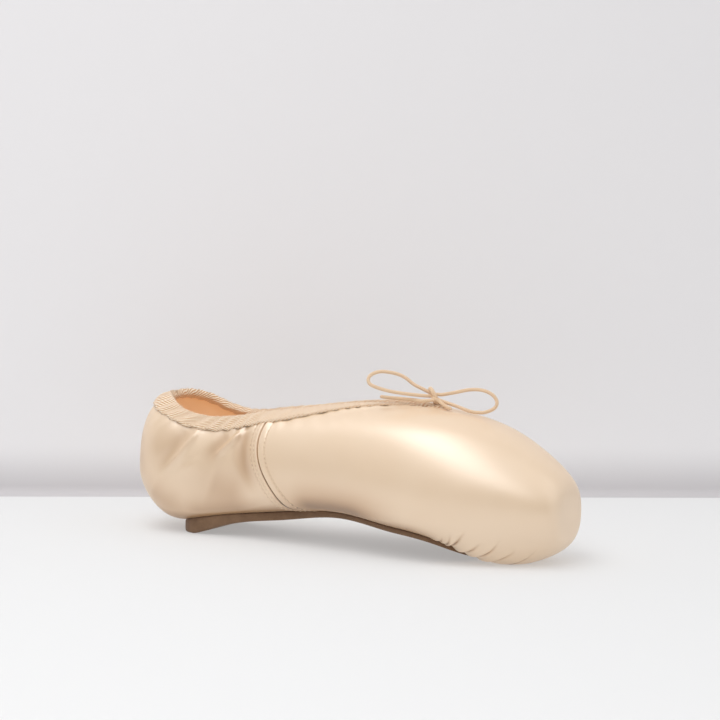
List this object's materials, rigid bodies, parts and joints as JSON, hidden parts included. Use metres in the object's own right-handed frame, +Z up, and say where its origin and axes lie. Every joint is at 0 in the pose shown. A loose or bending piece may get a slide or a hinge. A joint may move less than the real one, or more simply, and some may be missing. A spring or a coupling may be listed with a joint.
{
  "type": "pointe shoe",
  "caption": "Satin pointe shoe standing on its sole: hollow upper with a blunt toe box, thin arched leather outsole, twill collar binding and a tied drawstring bow.",
  "frame": {"origin": "middle of the shoe's length and width, on the floor that the outsole's heel and the toe box stand on", "axes": "+X to the toe's platform, +Y to the shoe's left side, +Z up"},
  "size_m": [0.234, 0.0776, 0.0885],
  "materials": {
    "satin": "satin weave, glossy",
    "twill": "matt cotton twill",
    "sole_leather": "matt split leather",
    "insole_cloth": "matt cotton",
    "cord": "matt braided cotton"
  },
  "bodies": {
    "root": {"upper": "satin", "collar_binding": "twill", "outsole": "sole_leather", "insole": "insole_cloth", "drawstring_knot": "cord", "bow_loop_left": "cord", "bow_loop_right": "cord", "drawstring_end_left": "cord", "drawstring_end_right": "cord"}
  },
  "joints": []
}
